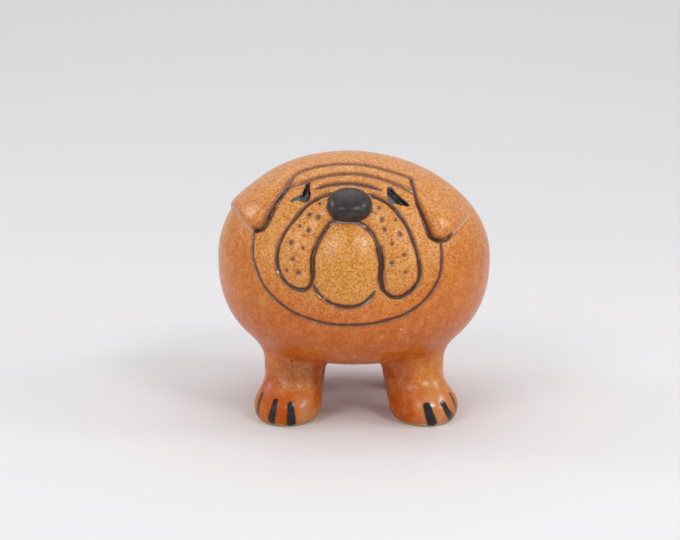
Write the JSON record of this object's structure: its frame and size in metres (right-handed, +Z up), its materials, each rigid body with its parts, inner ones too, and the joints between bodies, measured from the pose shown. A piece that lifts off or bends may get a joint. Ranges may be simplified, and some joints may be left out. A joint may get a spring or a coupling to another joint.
{
  "type": "dog figurine",
  "caption": "Squat bulldog figurine in glazed stoneware: egg-shaped body and head in one, carved face, ear flaps in low relief, round nose and short legs.",
  "frame": {"origin": "centre of the outline seen from above, on the surface the dog stands on", "axes": "+Z up, -Y the way the dog faces, +X to the right as seen from the front"},
  "size_m": [0.1048, 0.1163, 0.1004],
  "materials": {
    "glaze": "satin gloss brown glaze with a fine mottle and dark lines in the carving"
  },
  "bodies": {
    "root": {"dog_figurine": "glaze"}
  },
  "joints": []
}
